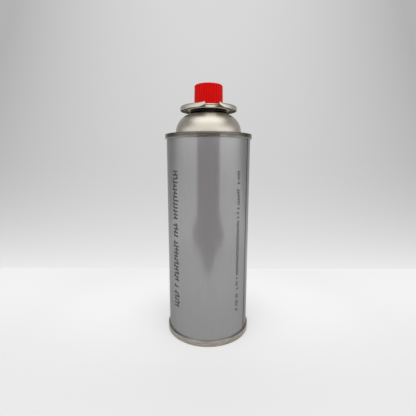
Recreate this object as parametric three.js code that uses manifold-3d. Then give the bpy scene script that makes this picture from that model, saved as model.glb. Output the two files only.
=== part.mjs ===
// A nozzle-type butane canister for a portable stove: a seamed tinplate can, a spring valve
// in a clinched cup, a notched locking collar and a push-on cap.
// Millimetres, +Z up. The origin is the centre of the circle that the can stands on,
// and the collar's notch faces -Y.

import * as THREE from "three";
import { mergeVertices } from "three/addons/utils/BufferGeometryUtils.js";
import Module from "manifold-3d";

const wasm = await Module();
wasm.setup();

// Driving dimensions of the can
const BODY_R = 32.7; // outside of the printed wall
const CAN_H = 160.6; // floor to the top of the upper seam
const SEAM_BULGE = 1.2; // how far both seams stand out from the wall
const SEAM_THICK = 1.7; // seam, from its outside to the wall of the sink inside it
const SEAM_EDGE = 0.5; // rounding of a seam's edges
const BASE_SEAM_H = 4.6;
const TOP_SEAM_H = 3.6;
const BASE_SINK = 5.2; // floor to the rim of the hollow base
const BASE_DOME_RISE = 6.5; // how much higher the hollow base is in its middle
const TOP_SINK = 4.6; // depth of the groove inside the upper seam
const SINK_FILLET = 1.0;
const WELD_W = 1.6; // the lap weld down the wall
const WELD_PROUD = 0.15;
const WELD_ANGLE = 55; // degrees from the notch, towards +X

// Driving dimensions of the domed top
const DOME_FOOT_R = 25.5;
const DOME_FOOT_RISE = 1.4; // above the seam, where the dome starts to turn in
const DOME_ARC_R = 14.5;
const DOME_ROOT_FILLET = 2.5;
const OPENING_R = 12.7; // the one-inch opening
const NECK_WALL = 1.5;
const NECK_FILLET = 1.6;
const NECK_LAND = 0.45; // straight neck under the rolled bead
const BEAD_R = 1.25; // the rolled bead's section
const HEAD_SPACE = 0.3; // between the cup's floor and the can's filling

// Driving dimensions of the valve
const CUP_SHEET = 0.35;
const CUP_FIT = 0.2; // cup wall to the opening
const SKIRT_FIT = 0.4; // cup skirt to the bead
const SKIRT_H = 3.2; // cup's top to the end of its skirt
const WELL_DEPTH = 5.1; // collar's top to the cup's floor
const PEDESTAL_R = 8.3;
const PEDESTAL_H = 4.6;
const CUP_BEND = 0.6; // radius of the cup's bends and the lip's, at the middle of the sheet
const CUP_GASKET_T = 0.3;
const STEM_R = 2.0;
const STEM_BORE_R = 0.8;
const STEM_PORT_R = 0.3; // the cross bore that the gasket shuts
const STEM_RISE = 8.0; // stem's tip above the pedestal
const STEM_CHAMFER = 0.5;
const STEM_FIT = 0.15; // stem to its gasket
const STEM_HOLE_GAP = 0.4; // stem to the hole in the pedestal
const SHOULDER_R = 3.6; // the stem's sealing shoulder
const SHOULDER_T = 1.5;
const STEM_PILOT_L = 3.0; // the end that centres the spring
const STEM_GASKET_T = 1.0;
const STEM_GASKET_R = 6.2;
const HOUSING_FIT = 0.3; // housing to the inside of the pedestal
const HOUSING_BORE_GAP = 0.6; // shoulder to the housing's bore
const HOUSING_WALL = 1.3;
const HOUSING_HEAD_H = 3.2; // the wide head that the cup grips
const HOUSING_FLOOR = 1.5;
const NIPPLE_R = 1.6;
const NIPPLE_BORE_R = 0.7;
const NIPPLE_L = 4.0;
const SPRING_WIRE_R = 0.3;
const SPRING_INSET = 0.2; // spring's outside to the edge of the shoulder
const SPRING_GAP = 0.3; // spring to the faces at its ends
const SPRING_PILOT_GAP = 0.5; // spring's inside to the end that centres it
const SPRING_TURNS = 6;
const SPRING_L = 11.0;
const TUBE_FIT = 0.1; // vapour tube on its nipple
const TUBE_WALL = 0.6;
const TUBE_SEAT_GAP = 0.3; // tube's end to the housing's foot
const TUBE_DROP = 5.0; // straight run under the nipple
const TUBE_BEND_R = 6.0;
const TUBE_REACH = 14.0; // straight run towards the notch side
const POCKET_GAP = 0.5; // round everything that hangs in the can

// Driving dimensions of the collar
const COLLAR_R = 21.95;
const COLLAR_SHEET = 0.6;
const COLLAR_BEND = 1.1; // radius of the rim's bend, at the middle of the sheet
const COLLAR_SKIRT = 3.2; // collar's top to the end of its skirt
const LIP_H = 3.0; // inner lip pressed into the well
const LIP_FIT = 0.05; // inner lip to the cup's wall
const NOTCH_W = 10.4;
const NOTCH_LAND = 0.7; // collar left outside the cup's skirt, at the notch
const EAR_RISE = 0.6; // how far the notch's corners are bent up
const EAR_L = 5.0; // how far along the rim the bend reaches

// Driving dimensions of the cap
const CAP_H = 20.6;
const CAP_SEAT_GAP = 0.3; // cap's foot to the cup's floor
const CAP_GAP = 0.3; // cap to the collar's inner lip
const CAP_TAPER = 0.4; // how much slimmer the cap is at its top
const CAP_WALL = 1.5;
const CAP_ROOF = 1.3;
const CAP_EDGE = 1.2; // rounding of the top edge
const CAP_RIBS = 36;
const RIB_DEPTH = 0.35;
const RIB_FOOT = 2.0; // plain band under the ribs
const RIB_HEAD = 0.6; // plain band over the ribs, below the rounding
const GRIP_COUNT = 6; // pads inside the mouth that hold the pedestal
const GRIP_W = 2.4;
const GRIP_H = 3.6;
const GRIP_FIT = 0.2;

// Smoothness
const CAN_SEGMENTS = 48;
const RING_SEGMENTS = 48;
const VALVE_SEGMENTS = 24;
const POINTS_PER_RIB = 4;
const BEND_STEPS = 2;
const DOME_STEPS = 7;
const BEAD_STEPS = 6;
const TUBE_SIDES = 12;
const TUBE_STEPS = 18;
const SPRING_SIDES = 6;
const STEPS_PER_TURN = 12;
const OVERCUT = 1; // how far a cutting or joining shape runs on past a face

// Places that follow from the sizes above
const SEAM_R = BODY_R + SEAM_BULGE;
const SINK_R = SEAM_R - SEAM_THICK;
const TOP_SEAM_Z = CAN_H - TOP_SEAM_H;
const SINK_FLOOR_Z = CAN_H - TOP_SINK;
const NECK_R = OPENING_R + NECK_WALL;
const DOME_CENTRE = new THREE.Vector2(DOME_FOOT_R - DOME_ARC_R, CAN_H + DOME_FOOT_RISE);
const FILLET_R = NECK_R + NECK_FILLET;
const FILLET_RISE = Math.sqrt((DOME_ARC_R + NECK_FILLET) ** 2 - (FILLET_R - DOME_CENTRE.x) ** 2);
const FILLET_CENTRE = new THREE.Vector2(FILLET_R, DOME_CENTRE.y + FILLET_RISE);
const BEAD_CENTRE = new THREE.Vector2(OPENING_R + BEAD_R, FILLET_CENTRE.y + NECK_LAND + BEAD_R);
const BEAD_TOP_Z = BEAD_CENTRE.y + BEAD_R;
const CUP_TOP_Z = BEAD_TOP_Z + CUP_GASKET_T + CUP_SHEET;
const COLLAR_TOP_Z = CUP_TOP_Z + COLLAR_SHEET;
const CUP_FLOOR_Z = COLLAR_TOP_Z - WELL_DEPTH;
const CUP_WALL_R = OPENING_R - CUP_FIT;
const SKIRT_R = BEAD_CENTRE.x + BEAD_R + SKIRT_FIT + CUP_SHEET;
const LIP_R = CUP_WALL_R - CUP_SHEET - LIP_FIT;
const NOTCH_FLOOR_R = SKIRT_R + NOTCH_LAND;
const CAP_FOOT_R = LIP_R - COLLAR_SHEET - CAP_GAP;
const CAP_TOP_R = CAP_FOOT_R - CAP_TAPER;
const CAP_FOOT_Z = CUP_FLOOR_Z + CAP_SEAT_GAP;
const CAP_TOP_Z = CAP_FOOT_Z + CAP_H;
const PEDESTAL_TOP_Z = CUP_FLOOR_Z + PEDESTAL_H;
const STEM_TOP_Z = PEDESTAL_TOP_Z + STEM_RISE;
const GASKET_TOP_Z = PEDESTAL_TOP_Z - CUP_SHEET;
const GASKET_FOOT_Z = GASKET_TOP_Z - STEM_GASKET_T;
const SHOULDER_FOOT_Z = GASKET_FOOT_Z - SHOULDER_T;
const HOUSING_FLOOR_Z = SHOULDER_FOOT_Z - SPRING_L - 2 * SPRING_GAP;
const HOUSING_FOOT_Z = HOUSING_FLOOR_Z - HOUSING_FLOOR;
const HOUSING_BORE_R = SHOULDER_R + HOUSING_BORE_GAP;
const HOUSING_R = HOUSING_BORE_R + HOUSING_WALL;
const HOUSING_HEAD_R = PEDESTAL_R - CUP_SHEET - HOUSING_FIT;
const SPRING_R = SHOULDER_R - SPRING_INSET - SPRING_WIRE_R;
const STEM_PILOT_R = SPRING_R - SPRING_WIRE_R - SPRING_PILOT_GAP;
const NIPPLE_FOOT_Z = HOUSING_FOOT_Z - NIPPLE_L;
const TUBE_BORE_R = NIPPLE_R + TUBE_FIT;
const TUBE_R = TUBE_BORE_R + TUBE_WALL;
const WELD_TURN = THREE.MathUtils.degToRad(WELD_ANGLE);

const tinplate = { color: 0xa39e94, roughness: 0.38, metalness: 0.9 };
const nylon = { color: 0xe6e3da, roughness: 0.5, metalness: 0 };
const blackRubber = { color: 0x1c1c1c, roughness: 0.8, metalness: 0 };

const v2 = (r, z) => new THREE.Vector2(r, z);

// Points on a circular arc in the r-z plane, both ends included, angles in degrees.
function arc(centre, radius, from, to, steps) {
  const points = [];
  for (let i = 0; i <= steps; i++) {
    const turn = THREE.MathUtils.degToRad(from + ((to - from) * i) / steps);
    points.push(v2(centre.x + radius * Math.cos(turn), centre.y + radius * Math.sin(turn)));
  }
  return points;
}

// A path of straight runs with its corners rounded, each to its own radius.
function roundedPath(corners, radii) {
  const path = [corners[0]];
  for (let i = 1; i < corners.length - 1; i++) {
    const corner = corners[i];
    const back = corners[i - 1].clone().sub(corner).normalize();
    const on = corners[i + 1].clone().sub(corner).normalize();
    const radius = radii[i - 1];
    const half = Math.acos(THREE.MathUtils.clamp(back.dot(on), -1, 1)) / 2;
    const setback = radius / Math.tan(half);
    const inward = back.clone().add(on).normalize();
    const centre = corner.clone().addScaledVector(inward, radius / Math.sin(half));
    const start = corner.clone().addScaledVector(back, setback).sub(centre);
    const end = corner.clone().addScaledVector(on, setback).sub(centre);
    const sweep = Math.atan2(start.cross(end), start.dot(end));
    for (let s = 0; s <= BEND_STEPS; s++) {
      path.push(start.clone().rotateAround(v2(0, 0), (sweep * s) / BEND_STEPS).add(centre));
    }
  }
  path.push(corners[corners.length - 1]);
  return path;
}

// The closed outline of a sheet of the given thickness whose middle follows the path.
function sheetOutline(path, thickness) {
  const left = [];
  const right = [];
  path.forEach((point, i) => {
    const before = path[Math.max(i - 1, 0)];
    const after = path[Math.min(i + 1, path.length - 1)];
    const inward = point.clone().sub(before).normalize();
    const outward = after.clone().sub(point).normalize();
    const along = inward.clone().add(outward).normalize();
    const normal = v2(-along.y, along.x);
    const run = i > 0 ? inward : outward;
    const reach = thickness / 2 / Math.abs(v2(-run.y, run.x).dot(normal));
    left.push(point.clone().addScaledVector(normal, reach));
    right.push(point.clone().addScaledVector(normal, -reach));
  });
  return [...left, ...right.reverse()];
}

// A body of revolution about Z. The outline runs anticlockwise in the r-z plane:
// either from axis to axis, or round a ring, which is then closed here.
function turned(outline, segments) {
  const onAxis = outline[0].x === 0;
  const points = onAxis ? outline : [...outline, outline[0].clone()];
  const area = THREE.ShapeUtils.area(outline);
  if (area < 0) points.reverse();
  return new THREE.LatheGeometry(points, segments).rotateX(Math.PI / 2);
}

function solid(geometry) {
  const bare = geometry.clone();
  bare.deleteAttribute("normal");
  bare.deleteAttribute("uv");
  const merged = mergeVertices(bare, 1e-4);
  return new wasm.Manifold(
    new wasm.Mesh({
      numProp: 3,
      vertProperties: merged.getAttribute("position").array,
      triVerts: new Uint32Array(merged.index.array),
    }),
  );
}

function geometryOf(manifold) {
  const mesh = manifold.getMesh();
  const geometry = new THREE.BufferGeometry();
  geometry.setAttribute("position", new THREE.BufferAttribute(mesh.vertProperties, 3));
  geometry.setIndex(new THREE.BufferAttribute(mesh.triVerts, 1));
  geometry.computeVertexNormals();
  return geometry;
}

// A round bar along a curve, or a tube where a bore's radius follows the outer one.
function bar(curve, [radius, boreRadius], sides, steps) {
  const circle = (r) => new THREE.EllipseCurve(0, 0, r, r).getPoints(sides).slice(0, sides);
  const section = new THREE.Shape(circle(radius));
  if (boreRadius) section.holes.push(new THREE.Path(circle(boreRadius)));
  return new THREE.ExtrudeGeometry(section, { steps, extrudePath: curve, bevelEnabled: false });
}

// Tinplate body, domed top and hollow base, seamed shut over the fuel and never opened:
// one solid, with the pocket that the valve hangs in.
function canOutline() {
  const baseRimR = SINK_R - SINK_FILLET;
  const baseDomeR = (baseRimR ** 2 + BASE_DOME_RISE ** 2) / (2 * BASE_DOME_RISE);
  const baseDomeSweep = THREE.MathUtils.radToDeg(Math.asin(baseRimR / baseDomeR));
  const baseDomeCentre = v2(0, BASE_SINK + BASE_DOME_RISE - baseDomeR);
  const domeTurn = THREE.MathUtils.radToDeg(
    Math.atan2(FILLET_CENTRE.y - DOME_CENTRE.y, FILLET_CENTRE.x - DOME_CENTRE.x),
  );
  const pocketR = HOUSING_R + POCKET_GAP;
  const fillZ = CUP_FLOOR_Z - CUP_SHEET - HEAD_SPACE;
  return [
    ...arc(baseDomeCentre, baseDomeR, 90, 90 - baseDomeSweep, DOME_STEPS),
    ...arc(v2(baseRimR, BASE_SINK - SINK_FILLET), SINK_FILLET, 90, 0, BEND_STEPS).slice(1),
    ...arc(v2(SINK_R + SEAM_EDGE, SEAM_EDGE), SEAM_EDGE, 180, 270, BEND_STEPS),
    ...arc(v2(SEAM_R - SEAM_EDGE, SEAM_EDGE), SEAM_EDGE, 270, 360, BEND_STEPS),
    ...arc(v2(SEAM_R - SEAM_EDGE, BASE_SEAM_H - SEAM_EDGE), SEAM_EDGE, 0, 90, BEND_STEPS),
    v2(BODY_R, BASE_SEAM_H),
    v2(BODY_R, TOP_SEAM_Z),
    ...arc(v2(SEAM_R - SEAM_EDGE, TOP_SEAM_Z + SEAM_EDGE), SEAM_EDGE, 270, 360, BEND_STEPS),
    ...arc(v2(SEAM_R - SEAM_EDGE, CAN_H - SEAM_EDGE), SEAM_EDGE, 0, 90, BEND_STEPS),
    ...arc(v2(SINK_R + SEAM_EDGE, CAN_H - SEAM_EDGE), SEAM_EDGE, 90, 180, BEND_STEPS),
    ...arc(v2(SINK_R - SINK_FILLET, SINK_FLOOR_Z + SINK_FILLET), SINK_FILLET, 0, -90, BEND_STEPS),
    ...arc(
      v2(DOME_FOOT_R + DOME_ROOT_FILLET, SINK_FLOOR_Z + DOME_ROOT_FILLET),
      DOME_ROOT_FILLET,
      270,
      180,
      BEND_STEPS,
    ),
    ...arc(DOME_CENTRE, DOME_ARC_R, 0, domeTurn, DOME_STEPS),
    ...arc(FILLET_CENTRE, NECK_FILLET, 180 + domeTurn, 180, BEND_STEPS).slice(1),
    ...arc(BEAD_CENTRE, BEAD_R, -80, 180, BEAD_STEPS),
    v2(OPENING_R, fillZ),
    v2(pocketR, fillZ),
    v2(pocketR, HOUSING_FOOT_Z - POCKET_GAP),
    v2(0, HOUSING_FOOT_Z - POCKET_GAP),
  ];
}

// The middle line of the vapour tube: down from the nipple, then out to the notch side,
// so that it ends in gas when the canister lies in a stove with its notch up.
function tubeCurve(startZ, reach) {
  const bendZ = NIPPLE_FOOT_Z - TUBE_DROP;
  const bendStart = new THREE.Vector3(0, 0, bendZ);
  const bendCorner = new THREE.Vector3(0, 0, bendZ - TUBE_BEND_R);
  const bendEnd = new THREE.Vector3(0, -TUBE_BEND_R, bendZ - TUBE_BEND_R);
  const curve = new THREE.CurvePath();
  curve.add(new THREE.LineCurve3(new THREE.Vector3(0, 0, startZ), bendStart));
  curve.add(new THREE.QuadraticBezierCurve3(bendStart, bendCorner, bendEnd));
  curve.add(new THREE.LineCurve3(bendEnd, bendEnd.clone().setY(-TUBE_BEND_R - reach)));
  return curve;
}

// A raised lap weld down the wall joins the sheet into a tube.
function weldGeometry() {
  const height = TOP_SEAM_Z - BASE_SEAM_H + 2 * SEAM_EDGE;
  return new THREE.BoxGeometry(OVERCUT + WELD_PROUD, WELD_W, height)
    .translate(BODY_R + (WELD_PROUD - OVERCUT) / 2, 0, (TOP_SEAM_Z + BASE_SEAM_H) / 2)
    .rotateZ(WELD_TURN - Math.PI / 2);
}

function canGeometry() {
  const shell = solid(turned(canOutline(), CAN_SEGMENTS));
  const tubePocket = solid(
    bar(tubeCurve(HOUSING_FOOT_Z, TUBE_REACH + POCKET_GAP), [TUBE_R + POCKET_GAP], TUBE_SIDES, TUBE_STEPS),
  );
  return geometryOf(shell.add(solid(weldGeometry())).subtract(tubePocket));
}

// The valve's mounting cup: skirt over the can's bead, well, and the pedestal that grips the valve.
function cupGeometry() {
  const half = CUP_SHEET / 2;
  const path = [
    v2(SKIRT_R - half, CUP_TOP_Z - SKIRT_H),
    v2(SKIRT_R - half, CUP_TOP_Z - half),
    v2(CUP_WALL_R - half, CUP_TOP_Z - half),
    v2(CUP_WALL_R - half, CUP_FLOOR_Z - half),
    v2(PEDESTAL_R - half, CUP_FLOOR_Z - half),
    v2(PEDESTAL_R - half, PEDESTAL_TOP_Z - half),
    v2(STEM_R + STEM_HOLE_GAP, PEDESTAL_TOP_Z - half),
  ];
  return turned(sheetOutline(roundedPath(path, path.slice(2).map(() => CUP_BEND)), CUP_SHEET), RING_SEGMENTS);
}

function washer(innerR, outerR, footZ, topZ, segments) {
  const outline = [v2(innerR, footZ), v2(outerR, footZ), v2(outerR, topZ), v2(innerR, topZ)];
  return turned(outline, segments);
}

function cupGasketGeometry() {
  const outerR = SKIRT_R - CUP_SHEET - CUP_BEND;
  return washer(OPENING_R + CUP_BEND, outerR, BEAD_TOP_Z, BEAD_TOP_Z + CUP_GASKET_T, RING_SEGMENTS);
}

function stemGasketGeometry() {
  return washer(STEM_R + STEM_FIT, STEM_GASKET_R, GASKET_FOOT_Z, GASKET_TOP_Z, VALVE_SEGMENTS);
}

function housingGeometry() {
  const outline = [
    v2(NIPPLE_BORE_R, NIPPLE_FOOT_Z),
    v2(NIPPLE_R, NIPPLE_FOOT_Z),
    v2(NIPPLE_R, HOUSING_FOOT_Z),
    v2(HOUSING_R, HOUSING_FOOT_Z),
    v2(HOUSING_R, GASKET_FOOT_Z - HOUSING_HEAD_H),
    v2(HOUSING_HEAD_R, GASKET_FOOT_Z - HOUSING_HEAD_H),
    v2(HOUSING_HEAD_R, GASKET_FOOT_Z),
    v2(HOUSING_BORE_R, GASKET_FOOT_Z),
    v2(HOUSING_BORE_R, HOUSING_FLOOR_Z),
    v2(NIPPLE_BORE_R, HOUSING_FLOOR_Z),
  ];
  return turned(outline, VALVE_SEGMENTS);
}

function stemGeometry() {
  const outline = [
    v2(0, SHOULDER_FOOT_Z - STEM_PILOT_L),
    v2(STEM_PILOT_R, SHOULDER_FOOT_Z - STEM_PILOT_L),
    v2(STEM_PILOT_R, SHOULDER_FOOT_Z),
    v2(SHOULDER_R, SHOULDER_FOOT_Z),
    v2(SHOULDER_R, GASKET_FOOT_Z),
    v2(STEM_R, GASKET_FOOT_Z),
    v2(STEM_R, STEM_TOP_Z - STEM_CHAMFER),
    v2(STEM_R - STEM_CHAMFER, STEM_TOP_Z),
    v2(STEM_BORE_R, STEM_TOP_Z),
    v2(STEM_BORE_R, GASKET_FOOT_Z),
    v2(0, GASKET_FOOT_Z),
  ];
  const port = new THREE.CylinderGeometry(STEM_PORT_R, STEM_PORT_R, STEM_R + OVERCUT, SPRING_SIDES)
    .translate(0, (STEM_R + OVERCUT) / 2, (GASKET_FOOT_Z + GASKET_TOP_Z) / 2);
  return geometryOf(solid(turned(outline, VALVE_SEGMENTS)).subtract(solid(port)));
}

class Helix extends THREE.Curve {
  getPoint(t, target = new THREE.Vector3()) {
    const turn = 2 * Math.PI * SPRING_TURNS * t;
    const footZ = HOUSING_FLOOR_Z + SPRING_GAP + SPRING_WIRE_R;
    return target.set(
      SPRING_R * Math.cos(turn),
      SPRING_R * Math.sin(turn),
      footZ + (SPRING_L - 2 * SPRING_WIRE_R) * t,
    );
  }
}

function springGeometry() {
  return bar(new Helix(), [SPRING_WIRE_R], SPRING_SIDES, SPRING_TURNS * STEPS_PER_TURN);
}

function tubeGeometry() {
  return bar(tubeCurve(HOUSING_FOOT_Z - TUBE_SEAT_GAP, TUBE_REACH), [TUBE_R, TUBE_BORE_R], TUBE_SIDES, TUBE_STEPS);
}

// Bends the rim up at both corners of the notch, most at the rim itself.
function bendEars(geometry) {
  const position = geometry.getAttribute("position");
  for (let i = 0; i < position.count; i++) {
    const x = position.getX(i);
    const y = position.getY(i);
    const radius = Math.hypot(x, y);
    const along = Math.abs(Math.atan2(x, -y)) * radius - NOTCH_W / 2;
    const nearness = THREE.MathUtils.clamp(1 - along / EAR_L, 0, 1);
    const outness = THREE.MathUtils.smoothstep(radius, NOTCH_FLOOR_R, COLLAR_R);
    position.setZ(i, position.getZ(i) + EAR_RISE * nearness ** 2 * outness);
  }
  geometry.computeVertexNormals();
  return geometry;
}

// The locking collar, pressed from sheet: lip in the cup's well, flat top, rim turned down,
// and the notch that keys the canister into a stove.
function collarGeometry() {
  const half = COLLAR_SHEET / 2;
  const path = [
    v2(LIP_R - half, COLLAR_TOP_Z - LIP_H),
    v2(LIP_R - half, COLLAR_TOP_Z - half),
    v2(COLLAR_R - half, COLLAR_TOP_Z - half),
    v2(COLLAR_R - half, COLLAR_TOP_Z - COLLAR_SKIRT),
  ];
  const bent = roundedPath(path, [CUP_BEND, COLLAR_BEND]);
  const ring = turned(sheetOutline(bent, COLLAR_SHEET), RING_SEGMENTS);
  const cutDepth = COLLAR_R - NOTCH_FLOOR_R + OVERCUT;
  const cutHeight = COLLAR_SKIRT + 2 * OVERCUT;
  const notch = new THREE.BoxGeometry(NOTCH_W, cutDepth, cutHeight)
    .translate(0, -NOTCH_FLOOR_R - cutDepth / 2, COLLAR_TOP_Z - COLLAR_SKIRT / 2);
  return bendEars(geometryOf(solid(ring).subtract(solid(notch))));
}

// The cap's outside, with its wall drawn in between the ribs.
function capOutside() {
  const edgeCentre = v2(CAP_TOP_R - CAP_EDGE, CAP_TOP_Z - CAP_EDGE);
  const ribTopZ = edgeCentre.y - RIB_HEAD;
  const ribFootZ = CAP_FOOT_Z + RIB_FOOT;
  const outline = [
    v2(0, CAP_FOOT_Z),
    v2(CAP_FOOT_R, CAP_FOOT_Z),
    v2(capRadius(ribFootZ), ribFootZ),
    v2(capRadius(ribFootZ + RIB_DEPTH), ribFootZ + RIB_DEPTH),
    v2(capRadius(ribTopZ), ribTopZ),
    v2(capRadius(ribTopZ + RIB_DEPTH), ribTopZ + RIB_DEPTH),
    ...arc(edgeCentre, CAP_EDGE, 0, 90, BEND_STEPS),
    v2(0, CAP_TOP_Z),
  ];
  const geometry = turned(outline, CAP_RIBS * POINTS_PER_RIB);
  const position = geometry.getAttribute("position");
  const slack = RIB_DEPTH / 2;
  for (let i = 0; i < position.count; i++) {
    const z = position.getZ(i);
    const radius = Math.hypot(position.getX(i), position.getY(i));
    const inBand = z > ribFootZ + slack && z < ribTopZ + slack && radius > CAP_TOP_R - CAP_EDGE;
    if (!inBand) continue;
    const phase = (Math.atan2(position.getY(i), position.getX(i)) * CAP_RIBS) / (2 * Math.PI);
    const isGroove = Math.abs(phase - Math.round(phase)) < 0.5 / POINTS_PER_RIB;
    const scale = isGroove ? (radius - RIB_DEPTH) / radius : 1;
    position.setXY(i, position.getX(i) * scale, position.getY(i) * scale);
  }
  return geometry;
}

function capRadius(z) {
  return CAP_FOOT_R - (CAP_TAPER * (z - CAP_FOOT_Z)) / CAP_H;
}

// A push-on cap: a ribbed shell with pads in its mouth that hold the pedestal.
function capGeometry() {
  const roofZ = CAP_TOP_Z - CAP_ROOF;
  const hollowFootZ = CAP_FOOT_Z - OVERCUT;
  const hollow = turned(
    [
      v2(0, hollowFootZ),
      v2(CAP_FOOT_R - CAP_WALL, hollowFootZ),
      v2(CAP_FOOT_R - CAP_WALL, CAP_FOOT_Z),
      v2(CAP_TOP_R - CAP_WALL, roofZ),
      v2(0, roofZ),
    ],
    VALVE_SEGMENTS,
  );
  let cap = solid(capOutside()).subtract(solid(hollow));
  const gripInnerR = PEDESTAL_R + GRIP_FIT;
  const gripOuterR = CAP_TOP_R - CAP_WALL / 2;
  for (let i = 0; i < GRIP_COUNT; i++) {
    const grip = new THREE.BoxGeometry(gripOuterR - gripInnerR, GRIP_W, GRIP_H)
      .translate((gripOuterR + gripInnerR) / 2, 0, CAP_FOOT_Z + GRIP_H / 2)
      .rotateZ((2 * Math.PI * i) / GRIP_COUNT);
    cap = cap.add(solid(grip));
  }
  return geometryOf(cap);
}

function piece(name, geometry, look) {
  const mesh = new THREE.Mesh(geometry, new THREE.MeshStandardMaterial(look));
  mesh.name = name;
  return mesh;
}

const canister = new THREE.Group();
canister.add(
  piece("can", canGeometry(), { color: 0x8f9193, roughness: 0.42, metalness: 0.75 }),
  piece("valve_cup", cupGeometry(), tinplate),
  piece("cup_gasket", cupGasketGeometry(), blackRubber),
  piece("collar", collarGeometry(), tinplate),
  piece("valve_housing", housingGeometry(), nylon),
  piece("valve_spring", springGeometry(), { color: 0xb8b8b8, roughness: 0.3, metalness: 1 }),
  piece("stem_gasket", stemGasketGeometry(), blackRubber),
  piece("valve_stem", stemGeometry(), nylon),
  piece("vapour_tube", tubeGeometry(), nylon),
  piece("cap", capGeometry(), { color: 0xc81a18, roughness: 0.4, metalness: 0 }),
);

export default canister;
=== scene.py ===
import math

import bmesh
import bpy
from mathutils import Euler, Matrix, Vector


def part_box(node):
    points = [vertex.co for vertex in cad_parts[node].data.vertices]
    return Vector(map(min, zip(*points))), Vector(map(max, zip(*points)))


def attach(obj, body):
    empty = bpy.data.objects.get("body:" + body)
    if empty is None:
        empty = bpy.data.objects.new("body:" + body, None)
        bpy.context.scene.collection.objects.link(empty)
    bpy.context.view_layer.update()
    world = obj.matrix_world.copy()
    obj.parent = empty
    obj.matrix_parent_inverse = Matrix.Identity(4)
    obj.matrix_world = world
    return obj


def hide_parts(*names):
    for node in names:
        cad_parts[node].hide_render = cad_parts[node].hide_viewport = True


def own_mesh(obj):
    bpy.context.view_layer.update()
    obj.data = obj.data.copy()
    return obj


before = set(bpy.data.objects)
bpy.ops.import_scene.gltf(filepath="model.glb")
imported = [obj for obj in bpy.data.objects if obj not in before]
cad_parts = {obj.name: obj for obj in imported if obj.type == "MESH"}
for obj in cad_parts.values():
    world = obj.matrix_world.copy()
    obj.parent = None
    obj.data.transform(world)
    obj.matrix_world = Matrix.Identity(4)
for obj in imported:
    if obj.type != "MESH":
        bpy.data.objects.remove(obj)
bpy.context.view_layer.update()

bl_info = {
    "name": "Fuel canister",
    "version": (1, 0, 0),
    "blender": (4, 5, 0),
    "location": "3D View > Sidebar > Canister",
    "description": "Dresses a nozzle-type fuel canister and its studio",
    "category": "Object",
}

MM = 0.001
BODY = "canister"


# Places taken from the frame
def top_of(node):
    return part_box(node)[1].z


def foot_of(node):
    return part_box(node)[0].z


def radius_of(node):
    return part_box(node)[1].x


SEAM_RADIUS = radius_of("can")
BEAD_TOP = top_of("can")
CUP_TOP = top_of("valve_cup")
CUP_RADIUS = radius_of("valve_cup")
COLLAR_RADIUS = radius_of("collar")
COLLAR_FOOT = foot_of("collar")
CAP_TOP = top_of("cap")
CAP_FOOT = foot_of("cap")
CAP_FOOT_RADIUS = radius_of("cap")
STEM_TOP = top_of("valve_stem")
STEM_FOOT = foot_of("valve_stem")
SHOULDER_RADIUS = radius_of("valve_stem")
BEAD_RADIUS = 1.25 * MM


# Settings that a user would change
def length(name, description, millimetres):
    return bpy.props.FloatProperty(
        name=name, description=description, default=millimetres * MM, unit="LENGTH", precision=5
    )


def colour(name, description, value):
    return bpy.props.FloatVectorProperty(
        name=name, description=description, default=value, size=3, subtype="COLOR", min=0, max=1
    )


class CanSettings(bpy.types.PropertyGroup):
    wall_radius: length("Wall radius", "Outside of the lacquered wall", 32.7)
    top_seam_foot: length("Upper seam foot", "Lower edge of the upper seam", 157.0)
    top_seam_head: length("Upper seam head", "Upper edge of the upper seam", 160.6)
    base_seam_head: length("Lower seam head", "Upper edge of the lower seam", 4.6)
    seam_thickness: length("Seam thickness", "Outside of a seam to the sink inside it", 1.7)
    top_sink: length("Upper sink", "Depth of the groove inside the upper seam", 4.6)
    base_sink: length("Base sink", "Floor to the rim of the hollow base", 5.2)
    base_rise: length("Base rise", "How much higher the hollow base is in its middle", 6.5)
    dome_foot_radius: length("Dome foot radius", "Radius at the foot of the dome", 25.5)
    dome_foot: length("Dome foot", "Height where the dome starts to turn in", 162.0)
    dome_arc: length("Dome arc", "Radius of the dome's section", 14.5)
    opening_radius: length("Opening radius", "Radius of the one-inch opening", 12.7)
    sheet: length("Sheet", "Thickness of the tinplate", 0.3)
    weld_width: length("Weld width", "Width of the lap weld and its bare margin", 2.3)
    weld_proud: length("Weld height", "How far the lap stands out", 0.13)
    lacquer: colour("Lacquer", "Satin silver lacquer", (0.335, 0.332, 0.336))
    tin: colour("Tinplate", "Bare tinplate", (0.62, 0.575, 0.50))
    ink: colour("Ink", "Dark printed marks", (0.035, 0.035, 0.038))


class ValveSettings(bpy.types.PropertyGroup):
    cup_sheet: length("Cup sheet", "Thickness of the valve cup", 0.35)
    cup_fit: length("Cup fit", "Cup wall to the can's opening", 0.2)
    skirt_height: length("Skirt height", "Height of the cup's outer skirt", 2.5)
    well_depth: length("Well depth", "Collar's top to the cup's floor", 5.1)
    pedestal_radius: length("Pedestal radius", "Outside of the cup's pedestal", 8.3)
    pedestal_height: length("Pedestal height", "Cup's floor to the pedestal's top", 4.6)
    stem_radius: length("Stem radius", "Outside of the stem", 2.0)
    stem_bore: length("Stem bore", "Radius of the stem's bore", 0.8)
    shoulder_height: length("Shoulder height", "Thickness of the sealing shoulder", 1.5)
    travel: length("Travel", "How far the stem can be pressed", 2.0)
    wire: length("Wire radius", "Radius of the spring's wire", 0.3)
    coils: bpy.props.IntProperty(name="Coils", description="Coils of the spring", default=6, min=2)
    nylon: colour("Nylon", "Natural nylon", (0.78, 0.76, 0.70))
    rubber: colour("Rubber", "Nitrile rubber", (0.022, 0.022, 0.023))


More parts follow.
